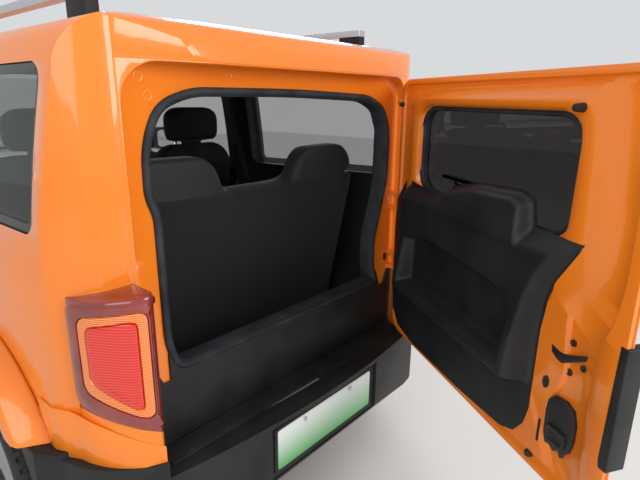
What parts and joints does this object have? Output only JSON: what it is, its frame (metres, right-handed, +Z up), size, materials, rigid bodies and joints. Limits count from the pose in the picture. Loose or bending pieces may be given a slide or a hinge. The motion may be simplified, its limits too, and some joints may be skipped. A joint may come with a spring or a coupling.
{
  "type": "electric mini suv",
  "caption": "Boxy electric mini sport utility car with a side-hinged tailgate standing open, side doors, bonnet, steered front wheels and rolling wheels.",
  "frame": {"origin": "on the floor, under the middle of the whole box with the tailgate open", "axes": "+X to the vehicle's right, +Y forward, +Z up"},
  "size_m": [1.936, 4.1946, 1.7209],
  "materials": {
    "paint": "glossy orange paint",
    "dark_moulding": "grained black moulding",
    "gloss_black": "gloss black",
    "seal_rubber": "matt foam rubber",
    "glass": "tinted glass",
    "lamp_red": "red lens",
    "lamp_clear": "clear lens",
    "tyre": "matt",
    "alloy": "satin silver",
    "chassis": "black coated",
    "rail_metal": "satin anodised",
    "battery_case": "cast case",
    "upholstery": "dark seat cover",
    "lining": "fine grained lining"
  },
  "bodies": {
    "root": {"arch_trims": "paint", "battery_pack": "battery_case", "body_side_left": "paint", "body_side_right": "paint", "bumper_corners": "paint", "cabin_lining": "lining", "cowl": "dark_moulding", "dashboard": "lining", "drive_unit": "alloy", "floor_pan": "paint", "front_bumper": "dark_moulding", "front_frame": "chassis", "front_panel": "gloss_black", "front_seats": "upholstery", "front_suspension": "chassis", "front_wings": "paint", "headlamps": "lamp_clear", "hinge_lugs": "paint", "nose_panel": "paint", "quarter_glass": "glass", "rear_axle": "chassis", "rear_bumper": "dark_moulding", "rear_frame": "paint", "rear_seat": "upholstery", "roof": "paint", "roof_rails": "rail_metal", "sill_cladding": "dark_moulding", "sill_cover": "dark_moulding", "tail_lamps": "lamp_red", "tail_seal": "seal_rubber", "windscreen": "glass"},
    "bonnet": {"bonnet": "paint"},
    "door_left": {"door_glass_left": "glass", "door_left": "paint", "door_lining_left": "lining", "mirror_left": "gloss_black"},
    "door_right": {"door_glass_right": "glass", "door_lining_right": "lining", "door_right": "paint", "mirror_right": "gloss_black"},
    "knuckle_left": {"knuckle_left": "chassis"},
    "knuckle_right": {"knuckle_right": "chassis"},
    "wheel_front_left": {"rim_front_left": "alloy", "tyre_front_left": "tyre"},
    "wheel_front_right": {"rim_front_right": "alloy", "tyre_front_right": "tyre"},
    "wheel_rear_left": {"rim_rear_left": "alloy", "tyre_rear_left": "tyre"},
    "wheel_rear_right": {"rim_rear_right": "alloy", "tyre_rear_right": "tyre"},
    "steering_wheel": {"steering_wheel": "lining"},
    "tailgate": {"tailgate": "paint", "tailgate_cover": "gloss_black", "tailgate_fittings": "chassis", "tailgate_glass": "glass", "tailgate_lining": "lining"}
  },
  "joints": [
    {"name": "tailgate_hinge", "type": "hinge", "parent": "root", "child": "tailgate", "pos_m": [0.558, -1.14869, 1], "axis": [0, 0, 1], "range_deg": [-57, 33]},
    {"name": "door_left_hinge", "type": "hinge", "parent": "root", "child": "door_left", "pos_m": [-0.764, 1.11531, 0.8], "axis": [0, 0, 1], "range_deg": [-65, 0]},
    {"name": "door_right_hinge", "type": "hinge", "parent": "root", "child": "door_right", "pos_m": [0.764, 1.11531, 0.8], "axis": [0, 0, 1], "range_deg": [0, 65]},
    {"name": "bonnet_hinge", "type": "hinge", "parent": "root", "child": "bonnet", "pos_m": [0, 1.47631, 1.08], "axis": [1, 0, 0], "range_deg": [0, 50]},
    {"name": "steer_left", "type": "hinge", "parent": "root", "child": "knuckle_left", "pos_m": [-0.655, 1.55731, 0.215], "axis": [0.2164, 0, 0.9763], "range_deg": [-30, 30]},
    {"name": "steer_right", "type": "hinge", "parent": "root", "child": "knuckle_right", "pos_m": [0.655, 1.55731, 0.215], "axis": [-0.2164, 0, 0.9763], "range_deg": [-30, 30]},
    {"name": "steering_wheel_turn", "type": "hinge", "parent": "root", "child": "steering_wheel", "pos_m": [-0.35, 0.87631, 0.93], "axis": [0, -0.9135, 0.4067], "range_deg": [-480, 480]},
    {"name": "wheel_rear_left_spin", "type": "hinge", "parent": "root", "child": "wheel_rear_left", "pos_m": [-0.72, -0.55269, 0.326], "axis": [1, 0, 0], "continuous": true},
    {"name": "wheel_rear_right_spin", "type": "hinge", "parent": "root", "child": "wheel_rear_right", "pos_m": [0.72, -0.55269, 0.326], "axis": [1, 0, 0], "continuous": true},
    {"name": "wheel_front_left_spin", "type": "hinge", "parent": "knuckle_left", "child": "wheel_front_left", "pos_m": [-0.72, 1.55731, 0.326], "axis": [1, 0, 0], "continuous": true},
    {"name": "wheel_front_right_spin", "type": "hinge", "parent": "knuckle_right", "child": "wheel_front_right", "pos_m": [0.72, 1.55731, 0.326], "axis": [1, 0, 0], "continuous": true}
  ],
  "couplings": [
    {"joint": "steer_right", "follows": "steer_left", "ratio": 1},
    {"joint": "steering_wheel_turn", "follows": "steer_left", "ratio": 16}
  ]
}
